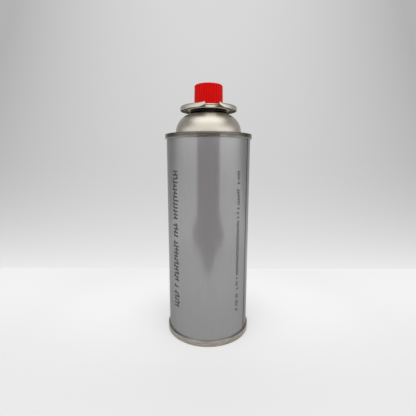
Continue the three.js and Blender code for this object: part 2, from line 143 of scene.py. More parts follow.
class CollarSettings(bpy.types.PropertyGroup):
    sheet: length("Collar sheet", "Thickness of the collar", 0.6)
    rim_bend: length("Rim bend", "Radius of the rim's bend, at the middle of the sheet", 1.1)
    lip_bend: length("Lip bend", "Radius of the inner lip's bend, at the middle of the sheet", 0.6)
    lip_height: length("Lip height", "Height of the inner lip", 3.0)
    ear_pinch: bpy.props.FloatProperty(
        name="Ear pinch",
        description="How much lower the rim is at the notch's corners",
        default=0.42,
        min=0.0,
        max=1.0,
        subtype="FACTOR",
    )
    notch_width: length("Notch width", "Width of the notch", 10.4)
    notch_land: length("Notch land", "Notch's floor from the cup's outside, outwards", 0.1)
    ear_rise: length("Ear rise", "How far the notch's corners are bent up", 0.8)
    ear_length: length("Ear length", "How far along the rim the bend reaches", 6.0)


class CapSettings(bpy.types.PropertyGroup):
    taper: length("Taper", "How much slimmer the cap is at its top", 0.4)
    wall: length("Cap wall", "Thickness of the cap's wall", 1.5)
    roof: length("Cap roof", "Thickness of the cap's roof", 1.3)
    edge: length("Cap edge", "Rounding of the top edge", 0.9)
    crown: length("Crown", "How far the roof swells at its middle", 0.6)
    rib_depth: length("Rib depth", "Depth of the grooves between ribs", 0.55)
    rib_foot: length("Rib foot", "Plain band under the ribs", 2.0)
    ribs: bpy.props.IntProperty(name="Ribs", description="Ribs round the cap", default=36, min=8)
    red: colour("Red", "Red polyethylene", (0.62, 0.004, 0.004))


class StudioSettings(bpy.types.PropertyGroup):
    heading: bpy.props.FloatProperty(
        name="Heading",
        description="Turn of the camera about the can, from the notch",
        default=math.radians(-7.05),
        subtype="ANGLE",
    )
    pitch: bpy.props.FloatProperty(
        name="Pitch", description="Camera's downward tilt", default=math.radians(9.62), subtype="ANGLE"
    )
    roll: bpy.props.FloatProperty(
        name="Roll", description="Camera's roll", default=math.radians(0.16), subtype="ANGLE"
    )
    distance: length("Distance", "Camera to the can's axis", 236.0)
    height: length("Height", "Camera's height", 142.3)
    shift: length("Shift", "Camera to the left of the can's axis", 0.2)
    lens: bpy.props.FloatProperty(
        name="Lens", description="Focal length on a 36 mm sensor", default=25.22, subtype="DISTANCE_CAMERA"
    )
    wall_distance: length("Wall distance", "Can's axis to the back edge of the floor", 129.0)
    floor: colour("Floor", "Colour of the floor", (0.88, 0.88, 0.88))
    flag_distance: length("Flag distance", "Can's axis to the grey cloth before it", 147.0)
    flag_width: length("Flag width", "Width of the grey cloth", 146.0)
    flag_head: length("Flag head", "Height of the grey cloth's upper edge", 172.0)
    flag_foot: length("Flag foot", "Height of the grey cloth's point", 12.0)
    lamp_width: length("Lamp width", "Width of the softbox", 1450.0)
    lamp_depth: length("Lamp depth", "Depth of the softbox", 600.0)
    lamp_height: length("Lamp height", "Height of the softbox", 1000.0)
    lamp_forward: length("Lamp forward", "Can's axis to the softbox, towards the camera", 220.0)
    lamp_aim: length("Lamp aim", "Height on the can's axis that the softbox faces", 150.0)
    lamp_watts: bpy.props.FloatProperty(
        name="Lamp power", description="Power of the softbox in watts", default=3.0, min=0.0
    )


# Outlines in the r-z plane
CUT_SHARE = 0.3  # how far a sheet's cut end rounds out, as a share of its thickness


def arc(centre, radius, start, end, steps=8):
    """Points on a circular arc, both ends included, with the angles in degrees."""
    points = []
    for i in range(steps + 1):
        turn = math.radians(start + (end - start) * i / steps)
        points.append(Vector((centre[0] + radius * math.cos(turn), centre[1] + radius * math.sin(turn))))
    return points


def rounded_path(corners, radii, steps=8):
    """Straight runs between the corners, each inner corner rounded to its own radius."""
    corners = [Vector(c) for c in corners]
    path = [corners[0]]
    for before, corner, after, radius in zip(corners, corners[1:], corners[2:], radii):
        back = (before - corner).normalized()
        on = (after - corner).normalized()
        half = back.angle(on) / 2
        centre = corner + (back + on).normalized() * radius / math.sin(half)
        first = corner + back * radius / math.tan(half) - centre
        last = corner + on * radius / math.tan(half) - centre
        sweep = math.atan2(first.x * last.y - first.y * last.x, first.dot(last))
        for i in range(steps + 1):
            turn = sweep * i / steps
            path.append(centre + Matrix.Rotation(turn, 2) @ first)
    path.append(corners[-1])
    return path


def sheet_outline(path, thickness):
    """The closed outline of a sheet whose middle follows the path, with rounded cut ends."""
    left, right = [], []
    for i, point in enumerate(path):
        before = path[max(i - 1, 0)]
        after = path[min(i + 1, len(path) - 1)]
        along = (after - before).normalized()
        across = Vector((-along.y, along.x)) * thickness / 2
        left.append(point + across)
        right.append(point - across)
    cut = thickness * CUT_SHARE
    start_in = (path[0] - path[1]).normalized() * cut
    end_in = (path[-1] - path[-2]).normalized() * cut
    tip_start = [
        right[0].lerp(left[0], 0.25) + start_in,
        right[0].lerp(left[0], 0.75) + start_in,
    ]
    tip_end = [
        left[-1].lerp(right[-1], 0.25) + end_in,
        left[-1].lerp(right[-1], 0.75) + end_in,
    ]
    return tip_start + left + tip_end + right[::-1]


# Meshes
def new_object(name, mesh):
    piece = bpy.data.objects.new(name, mesh)
    bpy.context.scene.collection.objects.link(piece)
    return piece


def object_from(name, bm, sharp=32):
    """Makes an object, smooth but for the edges over the sharp angle in degrees."""
    bmesh.ops.recalc_face_normals(bm, faces=bm.faces[:])
    for face in bm.faces:
        face.smooth = True
    for edge in bm.edges:
        edge.smooth = edge.calc_face_angle(0) < math.radians(sharp)
    mesh = bpy.data.meshes.new(name)
    bm.to_mesh(mesh)
    bm.free()
    return new_object(name, mesh)


def lathe_mesh(outline, segments, shift=None):
    """Turns an outline about Z. Points on the axis become poles, and any other outline closes on itself.

    shift takes a point of the outline and an angle from the notch towards +X, and returns the point there.
    """
    bm = bmesh.new()
    columns = []
    for i in range(segments):
        turn = 2 * math.pi * i / segments
        column = []
        for point in outline:
            r, z = shift(point, turn) if shift else point
            column.append((r * math.sin(turn), -r * math.cos(turn), z))
        columns.append(column)
    on_axis = [abs(point[0]) < 1e-9 for point in outline]
    poles = [bm.verts.new(columns[0][j]) if pole else None for j, pole in enumerate(on_axis)]
    rings = [[poles[j] or bm.verts.new(column[j]) for j in range(len(outline))] for column in columns]
    closes = not (on_axis[0] and on_axis[-1])
    last = len(outline) if closes else len(outline) - 1
    for i, ring in enumerate(rings):
        beside = rings[(i + 1) % segments]
        for j in range(last):
            k = (j + 1) % len(outline)
            corners = list(dict.fromkeys((ring[j], beside[j], beside[k], ring[k])))
            if len(corners) > 2:
                bm.faces.new(corners)
    return bm


def lathe(name, outline, segments=192, shift=None):
    return object_from(name, lathe_mesh(outline, segments, shift))


def dress(piece, body, slot, material, *replaced):
    """Puts a finished piece in the frame with its material."""
    piece.data.materials.clear()
    piece.data.materials.append(material)
    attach(piece, body)
    if replaced:
        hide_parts(*replaced)


def refinish(node, material):
    """Gives a CAD node that stays in view a finished material."""
    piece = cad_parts[node]
    piece.data.materials.clear()
    piece.data.materials.append(material)


# Shader maths
class Value:
    """A node's output that Python's operators can work with."""

    def __init__(self, shader, socket):
        self.shader = shader
        self.socket = socket

    def maths(self, operation, *values):
        sockets = dict(enumerate(values))
        return self.shader.node("ShaderNodeMath", {"operation": operation}, sockets)

    def __add__(self, other):
        return self.maths("ADD", self, other)

    __radd__ = __add__

    def __sub__(self, other):
        return self.maths("SUBTRACT", self, other)

    def __rsub__(self, other):
        return self.maths("SUBTRACT", other, self)

    def __mul__(self, other):
        return self.maths("MULTIPLY", self, other)

    __rmul__ = __mul__

    def __truediv__(self, other):
        return self.maths("DIVIDE", self, other)

    def __pow__(self, other):
        return self.maths("POWER", self, other)

    def __neg__(self):
        return self.maths("MULTIPLY", self, -1.0)

    def __abs__(self):
        return self.maths("ABSOLUTE", self)

    def floor(self):
        return self.maths("FLOOR", self)

    def least(self, other):
        return self.maths("MINIMUM", self, other)

    def most(self, other):
        return self.maths("MAXIMUM", self, other)

    def step(self, low, high):
        """0 below low, 1 above high and smooth between them."""
        sockets = {"Value": self, "From Min": low, "From Max": high}
        return self.shader.node("ShaderNodeMapRange", {"interpolation_type": "SMOOTHSTEP"}, sockets)

    def past(self, limit, blur=0.1 * MM):
        """0 below the limit and 1 above it, with a blurred edge."""
        return self.step(limit - blur, limit + blur)

    def within(self, reach, blur):
        """1 nearer to 0 than the reach and 0 farther off, with a blurred edge."""
        return 1 - abs(self).step(reach - blur, reach + blur)


class Shader:
    """A material, or the world, that is built node by node."""

    def __init__(self, owner):
        owner.use_nodes = True
        self.owner = owner
        self.tree = owner.node_tree
        self.tree.nodes.clear()

    def node(self, kind, settings=None, sockets=None, output=0):
        """Adds a node: its settings first, then the values or links of its sockets."""
        made = self.tree.nodes.new(kind)
        for name, value in (settings or {}).items():
            setattr(made, name, value)
        for name, value in (sockets or {}).items():
            if isinstance(value, Value):
                self.tree.links.new(value.socket, made.inputs[name])
            else:
                made.inputs[name].default_value = value
        return Value(self, made.outputs[output]) if len(made.outputs) else made

    def place(self):
        """Object coordinates, which are metres in the frame."""
        return self.node("ShaderNodeTexCoord", output="Object")

    def parts(self, vector):
        split = self.node("ShaderNodeSeparateXYZ", {}, {0: vector})
        owner = split.socket.node
        return [Value(self, owner.outputs[i]) for i in range(3)]

    def join(self, x, y, z):
        return self.node("ShaderNodeCombineXYZ", {}, {0: x, 1: y, 2: z})

    def noise(self, vector, scale, detail=2.0):
        return self.node("ShaderNodeTexNoise", {}, {"Vector": vector, "Scale": scale, "Detail": detail})

    def grey(self, shade):
        """The shade as a colour."""
        return self.join(shade, shade, shade)

    def tinted(self, colour, shade):
        """The colour, multiplied by a shade that changes over the surface."""
        return self.blend(1.0, colour, self.grey(shade), "MULTIPLY")

    def light_path(self, kind):
        """1 for rays of the kind and 0 for others."""
        return self.node("ShaderNodeLightPath", output=kind)

    def random_of(self, value):
        return self.node("ShaderNodeTexWhiteNoise", {"noise_dimensions": "1D"}, {"W": value})

    def blend(self, factor, first, second, mode="MIX"):
        """Mixes two colours."""
        settings = {"data_type": "RGBA", "blend_type": mode}
        return self.node("ShaderNodeMix", settings, {0: factor, 6: rgba(first), 7: rgba(second)}, 2)

    def bump(self, height, distance, strength=1.0):
        sockets = {"Height": height, "Distance": distance, "Strength": strength}
        return self.node("ShaderNodeBump", {}, sockets)

    def finish(self, **values):
        """Ends a material in one principled shader, with spaces in its sockets' names as underscores."""
        sockets = {name.replace("_", " "): value for name, value in values.items()}
        for name in ("Base Color", "Specular Tint"):
            if name in sockets:
                sockets[name] = rgba(sockets[name])
        surface = self.node("ShaderNodeBsdfPrincipled", {}, sockets)
        self.node("ShaderNodeOutputMaterial", {}, {"Surface": surface})
        return self.owner


def rgba(value):
    if isinstance(value, Value):
        return value
    return (*tuple(value)[:3], 1.0)


def new_shader(name):
    return Shader(bpy.data.materials.new(name))


def round_the_axis(shader):
    """The place on a turned surface: angle from the notch towards +X, radius and height."""
    x, y, z = shader.parts(shader.place())
    angle = x.maths("ARCTAN2", x, -y)
    radius = (x * x + y * y) ** 0.5
    return angle, radius, z


# Materials
PRINT_FOOT = 24.5 * MM
PRINT_HEAD = 133.5 * MM
LEFT_PRINT_ANGLE = math.radians(-55.6)
LEFT_PRINT_WIDTH = 6.4 * MM
LEFT_PRINT_PITCH = 2.7 * MM
RIGHT_PRINT_ANGLE = math.radians(35.8)
RIGHT_PRINT_WIDTH = 3.2 * MM
RIGHT_PRINT_PITCH = 1.7 * MM
WELD_ANGLE = math.radians(55.0)
BARE_MARGIN = (0.10, 0.10, 0.105)


def printed_strokes(shader, angle, z, centre, width, pitch, seed):
    """A line up the wall of plain strokes and dabs of ink, in groups, with no two groups alike."""
    radius = bpy.context.scene.can_settings.wall_radius
    across = (angle - centre) * radius / width
    cell = (z / pitch).floor()
    inside = z / pitch - cell
    filled = shader.random_of(cell + seed).step(0.13, 0.15)
    offset = (shader.random_of(cell + seed + 0.53) - 0.5) * 0.16
    reach = 0.38 + 0.12 * shader.random_of(cell + seed + 0.37)
    bar = (across - offset).within(reach, 0.03) * (inside - 0.30).within(0.225, 0.025)
    side = (shader.random_of(cell + seed + 0.71) - 0.5) * 0.9
    dab = (across - side).within(0.15, 0.02) * (inside - 0.65).within(0.29, 0.03)
    band = z.past(PRINT_FOOT) * (1 - z.past(PRINT_HEAD))
    return filled * bar.most(dab) * band


def lacquered_tinplate():
    """Satin silver lacquer with dark print, a bare weld margin, streaks and small rubs."""
    can = bpy.context.scene.can_settings
    shader = new_shader("lacquered_tinplate")
    angle, _, z = round_the_axis(shader)
    along = shader.join(angle * can.wall_radius, 0.0, z * 0.04)
    streaks = shader.noise(along, 900.0, 3.0)
    broad = shader.noise(shader.join(angle * can.wall_radius, 0.0, z * 0.35), 60.0, 2.0)
    grain = shader.noise(shader.place(), 5200.0, 2.0)
    left = printed_strokes(shader, angle, z, LEFT_PRINT_ANGLE, LEFT_PRINT_WIDTH, LEFT_PRINT_PITCH, 3.0)
    right = printed_strokes(
        shader, angle, z, RIGHT_PRINT_ANGLE, RIGHT_PRINT_WIDTH, RIGHT_PRINT_PITCH, 40.0
    )
    ink = left.most(right)
    weld = ((angle - WELD_ANGLE) * can.wall_radius).within(can.weld_width / 2, 0.1 * MM)
    tone = 0.9 + 0.12 * streaks + 0.08 * broad
    printed = shader.blend(ink * 0.92, shader.tinted(can.lacquer, tone), can.ink)
    surface = shader.blend(weld * 0.9, printed, BARE_MARGIN)
    roughness = 0.13 + 0.06 * streaks + 0.04 * broad + 0.2 * ink
    height = grain * 0.5 + streaks * 0.5 + ink * 0.6
    return shader.finish(
        Base_Color=surface,
        Metallic=0.6 - 0.5 * ink,
        Specular_IOR_Level=0.35,
        Specular_Tint=(0.55, 0.55, 0.55),
        Roughness=roughness,
        Normal=shader.bump(height, 0.02 * MM, 0.35),
    )


def painted_shade_and_tarnish(can, radius, z, seam):
    """How dark the bare metal is: painted shade, most in the neck under the cup and less under the collar,
    and tarnish on the seams, with a painted contact shadow at the lower seam's foot.
    """
    below_cup = z.step(BEAD_TOP - 6.9 * MM, BEAD_TOP - 3.6 * MM) * (1 - z.past(BEAD_TOP + 0.1 * MM))
    beside_bead = 1 - radius.past(can.opening_radius + 2 * BEAD_RADIUS + 0.2 * MM)
    # Painted shade: the neck in the shadow of the cup's skirt is made nearly black.
    neck = below_cup * beside_bead * radius.past(can.opening_radius + 0.4 * MM)
    above_foot = z.step(COLLAR_FOOT - MM, COLLAR_FOOT)
    underside = above_foot * (1 - z.step(CUP_TOP - 0.05 * MM, CUP_TOP + 0.1 * MM))
    inside_rim = 1 - radius.past(COLLAR_RADIUS - 0.4 * MM)
    # Painted shade on the underside of the collar's rim.
    under = underside * inside_rim * radius.past(CUP_RADIUS + 0.15 * MM, 0.05 * MM)
    foot = can.top_seam_foot
    on_top_seam = z.step(foot / 3, foot * 2 / 3)
    tarnish = 0.30 + on_top_seam * (0.19 + 0.30 * z.step(foot + 0.3 * MM, foot + 1.5 * MM))
    # Painted contact shadow: a dark line at the foot of the lower seam, where it stands on the floor.
    contact_shadow = 0.35 * (1 - z.step(0.2 * MM, 0.7 * MM))
    return (0.97 * neck).most(0.45 * under).most((tarnish + contact_shadow) * seam)


def bare_tinplate():
    """Bare tinplate, drawn round the axis: fine turned lines, dull patches and painted shade in the
    recesses.
    """
    can = bpy.context.scene.can_settings
    shader = new_shader("bare_tinplate")
    angle, radius, z = round_the_axis(shader)
    turned = shader.noise(shader.join(angle * 0.0012, radius, z), 4200.0, 3.0)
    patches = shader.noise(shader.join(angle * 0.012, radius, z), 190.0, 3.0)
    grain = shader.noise(shader.place(), 2600.0, 2.0)
    seam = radius.past(can.wall_radius + 0.2 * MM)
    rolled = seam * (shader.noise(shader.join(angle * 0.004, 0.0, z), 900.0, 1.0) - 0.5)
    # Painted shade in the neck and under the collar, a painted contact shadow and the seams' tarnish
    # darken the base colour.
    dark = painted_shade_and_tarnish(can, radius, z, seam)
    shade = (0.72 + 0.26 * turned + 0.22 * patches + 1.1 * rolled) * (1 - dark)
    return shader.finish(
        Base_Color=shader.tinted(can.tin, shade),
        Metallic=1.0,
        Roughness=0.29 + 0.10 * patches + 0.08 * turned - 0.17 * seam,
        Normal=shader.bump(turned * 0.8 + grain * 0.4, 0.02 * MM, 0.5),
    )


def red_plastic():
    """Bright polyethylene, half gloss, with a fine moulded grain."""
    cap = bpy.context.scene.cap_settings
    shader = new_shader("red_plastic")
    grain = shader.noise(shader.place(), 3200.0, 3.0)
    flow = shader.noise(shader.place(), 240.0, 2.0)
    return shader.finish(
        Base_Color=shader.tinted(cap.red, 0.92 + 0.12 * flow),
        Roughness=0.34 + 0.10 * flow,
        Normal=shader.bump(grain, 0.015 * MM, 0.06),
        Specular_IOR_Level=0.4,
        Specular_Tint=(1.0, 0.08, 0.06),
    )


def nylon():
    """Natural moulded nylon."""
    valve = bpy.context.scene.valve_settings
    shader = new_shader("white_nylon")
    grain = shader.noise(shader.place(), 2400.0, 2.0)
    flow = shader.noise(shader.place(), 300.0, 2.0)
    return shader.finish(
        Base_Color=shader.tinted(valve.nylon, 0.93 + 0.1 * flow),
        Roughness=0.42 + 0.1 * grain,
        Normal=shader.bump(grain, 0.01 * MM, 0.5),
    )


def rubber():
    """Matt black nitrile."""
    valve = bpy.context.scene.valve_settings
    shader = new_shader("black_rubber")
    grain = shader.noise(shader.place(), 1800.0, 3.0)
    base = shader.blend(grain * 0.35, valve.rubber, (0.06, 0.06, 0.06))
    return shader.finish(
        Base_Color=base,
        Roughness=0.72 + 0.15 * grain,
        Normal=shader.bump(grain, 0.02 * MM, 0.6),
    )


def spring_wire():
    """Drawn spring wire."""
    shader = new_shader("spring_steel")
    drawn = shader.noise(shader.place(), 3000.0, 2.0)
    base = shader.blend(drawn * 0.5, (0.62, 0.62, 0.62), (0.42, 0.42, 0.43))
    return shader.finish(
        Base_Color=base,
        Metallic=1.0,
        Roughness=0.24 + 0.14 * drawn,
        Normal=shader.bump(drawn, 0.01 * MM, 0.4),
    )


def shared(maker):
    """The material that a maker gives, made once."""
    name = maker.__name__
    if name not in shared.made:
        shared.made[name] = maker()
    return shared.made[name]


shared.made = {}


# Pieces of the can
def wall_outline(can):
    inner = can.wall_radius - can.sheet
    tuck = 0.9 * MM
    foot = can.base_seam_head - tuck
    head = can.top_seam_foot + tuck
    rows = 24
    outer = [Vector((can.wall_radius, foot + (head - foot) * i / rows)) for i in range(rows + 1)]
    return [Vector((inner, foot))] + outer + [Vector((inner, head))]


def make_wall(can):
    """The lacquered wall, with the lap of its weld standing a little out."""
    lap_share = 0.64
    half = can.weld_width * lap_share / 2
    slope = 0.35 * MM

    def lap(point, turn):
        away = abs((turn - WELD_ANGLE + math.pi) % (2 * math.pi) - math.pi) * can.wall_radius
        nearness = max(0.0, min(1.0, (half - away) / slope + 1))
        outside = point[0] > can.wall_radius - can.sheet / 2
        return (point[0] + can.weld_proud * nearness * outside, point[1])

    wall = lathe("wall", wall_outline(can), 360, lap)
    dress(wall, BODY, "lacquered_tinplate", shared(lacquered_tinplate), "can")


def seam_outline(outer, inner, hook_foot, head, wall):
    """A double seam's section: a hooked outer skin, a rounded top and the wall of the sink inside it."""
    lower_edge = 0.4 * MM
    upper_edge = 0.45 * MM
    inner_edge = 0.7 * MM
    waist = outer - 0.05 * MM
    waist_half = 0.3 * MM
    hook = Vector((wall + 0.06 * MM, hook_foot + 0.2 * MM))
    middle = (hook_foot + head) / 2
    return (
        arc((outer - lower_edge, hook_foot + lower_edge), lower_edge, 225, 355, 8)
        + [Vector((waist, middle - waist_half)), Vector((waist, middle + waist_half))]
        + arc((outer - upper_edge, head - upper_edge), upper_edge, 5, 90, 8)
        + arc((inner + inner_edge, head - inner_edge), inner_edge, 90, 180, 8)
        + [Vector((inner, hook.y)), hook]
    )


def make_top_seam(can):
    inner = SEAM_RADIUS - can.seam_thickness
    outline = seam_outline(SEAM_RADIUS, inner, can.top_seam_foot, can.top_seam_head, can.wall_radius)
    seam = lathe("top_seam", outline, 256)
    dress(seam, BODY, "bare_tinplate", shared(bare_tinplate), "can")


def make_base_seam(can):
    inner = SEAM_RADIUS - can.seam_thickness
    outline = seam_outline(SEAM_RADIUS, inner, -can.base_seam_head, 0.0, can.wall_radius)
    flipped = [Vector((p.x, -p.y)) for p in outline]
    seam = lathe("base_seam", flipped, 256)
    dress(seam, BODY, "bare_tinplate", shared(bare_tinplate), "can")


def dome_path(can):
    """The middle of the domed top's sheet: down the sink, over the dome and round the bead."""
    half = can.sheet / 2
    sink_floor = can.top_seam_head - can.top_sink
    sink_wall = SEAM_RADIUS - can.seam_thickness
    neck = can.opening_radius + 1.5 * MM
    fillet = 1.6 * MM
    centre = Vector((can.dome_foot_radius - can.dome_arc, can.dome_foot))
    fillet_radius = neck + fillet
    rise = math.sqrt((can.dome_arc + fillet) ** 2 - (fillet_radius - centre.x) ** 2)
    fillet_centre = Vector((fillet_radius, centre.y + rise))
    turn = math.degrees(math.atan2(rise, fillet_radius - centre.x))
    bead_centre = Vector((can.opening_radius + BEAD_RADIUS, BEAD_TOP - BEAD_RADIUS))
    root = 2.5 * MM
    bend = 1.0 * MM
    tuck = 1.0 * MM
    tail = 2.0 * MM
    return (
        [Vector((sink_wall - half, can.top_seam_head - tuck))]
        + arc((sink_wall - bend, sink_floor + bend), bend - half, 0, -90, 8)
        + arc((can.dome_foot_radius + root, sink_floor + root), root + half, 270, 180, 10)
        + arc(centre, can.dome_arc - half, 0, turn, 40)
        + arc(fillet_centre, fillet + half, 180 + turn, 180, 8)[1:]
        + arc(bead_centre, BEAD_RADIUS - half, -70, 180, 18)
        + [Vector((can.opening_radius + half, bead_centre.y - tail))]
    )


def make_dome(can):
    dome = lathe("domed_top", sheet_outline(dome_path(can), can.sheet), 256)
    dress(dome, BODY, "bare_tinplate", shared(bare_tinplate), "can")


def base_path(can):
    """The middle of the hollow base's sheet: sink wall, rim bead, a step and the dome."""
    half = can.sheet / 2
    bend = 1.0 * MM
    tuck = 1.0 * MM
    rim = SEAM_RADIUS - can.seam_thickness - bend
    radius = (rim ** 2 + can.base_rise ** 2) / (2 * can.base_rise)
    sweep = math.degrees(math.asin(rim / radius))
    centre = (0.0, can.base_sink + can.base_rise - radius)
    dome = arc(centre, radius + half, 90, 90 - sweep, 32)
    step = 0.45 * MM
    step_radius = 0.62 * rim
    stepped = [Vector((p.x, p.y + (step if p.x < step_radius else 0.0))) for p in dome]
    wall = arc((rim, can.base_sink - bend), bend + half, 88, 0, 8)
    return stepped + wall[1:] + [Vector((rim + bend + half, tuck))]


def make_base(can):
    path = base_path(can)
    half = can.sheet / 2
    below = [Vector((p.x, p.y - half)) for p in path]
    above = [Vector((p.x, p.y + half)) for p in path]
    below[0].x = 0.0
    above[0].x = 0.0
    base = lathe("hollow_base", below + above[::-1], 192)
    dress(base, BODY, "bare_tinplate", shared(bare_tinplate), "can")


# Pieces of the valve
def make_valve_cup(valve, can):
    """The mounting cup: rolled skirt, shoulder, well and the crimped pedestal."""
    half = valve.cup_sheet / 2
    collar = bpy.context.scene.collar_settings
    wall = can.opening_radius - valve.cup_fit - half
    floor = CUP_TOP + collar.sheet - valve.well_depth - half
    head = floor + valve.pedestal_height
    skirt = CUP_RADIUS - half
    skirt_foot = CUP_TOP - valve.skirt_height
    tuck = 0.55 * MM
    hole = valve.stem_radius + 0.4 * MM
    corners = [
        (skirt - tuck, skirt_foot + 0.1 * MM),
        (skirt, skirt_foot + 0.45 * MM),
        (skirt, CUP_TOP - half),
        (wall, CUP_TOP - half),
        (wall, floor),
        (valve.pedestal_radius - half, floor),
        (valve.pedestal_radius - half, head),
        (hole, head),
    ]
    tuck_bend = 0.35 * MM
    shoulder_bend = 0.75 * MM
    bend = 0.6 * MM
    bends = [tuck_bend, shoulder_bend, bend, bend, bend, bend]
    outline = sheet_outline(rounded_path(corners, bends), valve.cup_sheet)
    cup = lathe("cup", outline, 192)
    dress(cup, BODY, "bare_tinplate", shared(bare_tinplate), "valve_cup")


def make_stem(valve):
    """The stem: a bored tube with a chamfered tip, a sealing shoulder and a pilot for the spring."""
    r = valve.stem_radius
    pilot = 2.3 * MM
    pilot_height = 3.0 * MM
    pilot_edge = 0.2 * MM
    tip = 0.5 * MM
    tip_edge = 0.35 * MM
    bore_edge = 0.15 * MM
    shoulder_foot = STEM_FOOT + pilot_height
    shoulder_head = shoulder_foot + valve.shoulder_height
    outline = (
        [Vector((0, STEM_FOOT))]
        + arc((pilot - pilot_edge, STEM_FOOT + pilot_edge), pilot_edge, 270, 360, 4)
        + [Vector((pilot, shoulder_foot)), Vector((SHOULDER_RADIUS, shoulder_foot))]
        + [Vector((SHOULDER_RADIUS, shoulder_head)), Vector((r, shoulder_head))]
        + [Vector((r, STEM_TOP - tip))]
        + arc((r - tip, STEM_TOP - tip_edge), tip_edge, 30, 90, 4)
        + arc((valve.stem_bore + bore_edge, STEM_TOP - bore_edge), bore_edge, 90, 180, 4)
        + [Vector((valve.stem_bore, shoulder_head)), Vector((0, shoulder_head))]
    )
    stem = lathe("stem", outline, 64)
    dress(stem, "stem", "white_nylon", shared(nylon), "valve_stem")


def make_spring(valve):
    """The valve's coil spring."""
    low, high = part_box("valve_spring")
    coil = high.x - valve.wire
    foot = low.z + valve.wire
    rise = high.z - low.z - 2 * valve.wire
    steps = valve.coils * 32
    sides = 12
    bm = bmesh.new()
    rings = []
    for i in range(steps + 1):
        turn = 2 * math.pi * valve.coils * i / steps
        outward = Vector((math.cos(turn), math.sin(turn), 0))
        middle = outward * coil + Vector((0, 0, foot + rise * i / steps))
        ring = []
        for j in range(sides):
            around = 2 * math.pi * j / sides
            offset = outward * math.cos(around) + Vector((0, 0, 1)) * math.sin(around)
            ring.append(bm.verts.new(middle + offset * valve.wire))
        rings.append(ring)
    for ring, above in zip(rings, rings[1:]):
        for j in range(sides):
            k = (j + 1) % sides
            bm.faces.new((ring[j], ring[k], above[k], above[j]))
    bm.faces.new(rings[0])
    bm.faces.new(rings[-1])
    spring = object_from("spring", bm, 60)
    dress(spring, BODY, "spring_steel", shared(spring_wire), "valve_spring")
    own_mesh(spring)


# The collar
def make_collar(collar, can, valve):
    """The pressed collar, with its notch cut and the notch's corners bent up."""
    half = collar.sheet / 2
    head = CUP_TOP + collar.sheet
    lip_gap = 0.05 * MM
    lip = can.opening_radius - valve.cup_fit - valve.cup_sheet - lip_gap
    corners = [
        (lip - half, head - collar.lip_height),
        (lip - half, head - half),
        (COLLAR_RADIUS - half, head - half),
        (COLLAR_RADIUS - half, COLLAR_FOOT + CUT_SHARE * collar.sheet),
    ]
    path = rounded_path(corners, [collar.lip_bend, collar.rim_bend], 10)
    floor_radius = CUP_RADIUS + collar.notch_land
    flat = [p for p in path if abs(p.y - (head - half)) < 1e-7]
    first, last = path.index(flat[0]), path.index(flat[-1])
    floor_ring = Vector((floor_radius, head - half))
    inner = [flat[0].lerp(floor_ring, i / 3) for i in range(1, 4)]
    outer = [floor_ring.lerp(flat[-1], i / 7) for i in range(1, 7)]
    path = path[: first + 1] + inner + outer + path[last:]
    bm = lathe_mesh(sheet_outline(path, collar.sheet), 288)
    cut_notch(bm, collar.notch_width / 2, floor_radius)
    bend_ears(bm, collar, floor_radius)
    piece = object_from("locking_collar", bm, 28)
    edge = piece.modifiers.new("worn_edges", "BEVEL")
    edge.width = 0.09 * MM
    edge.segments = 2
    edge.limit_method = "ANGLE"
    edge.angle_limit = math.radians(50)
    dress(piece, BODY, "bare_tinplate", shared(bare_tinplate), "collar")


def cut_notch(bm, half_width, floor_radius):
    """Takes out what lies between the notch's sides, outside its round floor, and closes the cuts."""
    for side in (-half_width, half_width):
        geometry = bm.verts[:] + bm.edges[:] + bm.faces[:]
        bmesh.ops.bisect_plane(bm, geom=geometry, plane_co=(side, 0, 0), plane_no=(1, 0, 0), dist=1e-8)
    inside = []
    for face in bm.faces:
        middle = face.calc_center_median()
        if middle.y < 0 and abs(middle.x) < half_width and math.hypot(middle.x, middle.y) > floor_radius:
            inside.append(face)
    bmesh.ops.delete(bm, geom=inside, context="FACES")
    open_edges = [edge for edge in bm.edges if edge.is_boundary]
    tiny = 1e-7
    sides = [
        [e for e in open_edges if all(abs(v.co.x - side) < tiny for v in e.verts)]
        for side in (-half_width, half_width)
    ]
    floor = [e for e in open_edges if e not in sides[0] and e not in sides[1]]
    bmesh.ops.bridge_loops(bm, edges=floor)
    for side in sides:
        ends = [v for v in {v for e in side for v in e.verts} if sum(e in side for e in v.link_edges) == 1]
        bmesh.ops.edgeloop_fill(bm, edges=side + [bm.edges.get(ends)])


def bend_ears(bm, collar, floor_radius):
    """Bends the rim up at both corners of the notch, most at the rim itself."""
    for v in bm.verts:
        radius = math.hypot(v.co.x, v.co.y)
        along = abs(math.atan2(v.co.x, -v.co.y)) * radius - collar.notch_width / 2
        nearness = max(0.0, min(1.0, 1 - along / collar.ear_length))
        outness = max(0.0, min(1.0, (radius - floor_radius) / (COLLAR_RADIUS - floor_radius)))
        bend = nearness ** 2 * outness ** 2 * (3 - 2 * outness)
        v.co.z += bend * (collar.ear_rise + collar.ear_pinch * (CUP_TOP + collar.sheet - v.co.z))


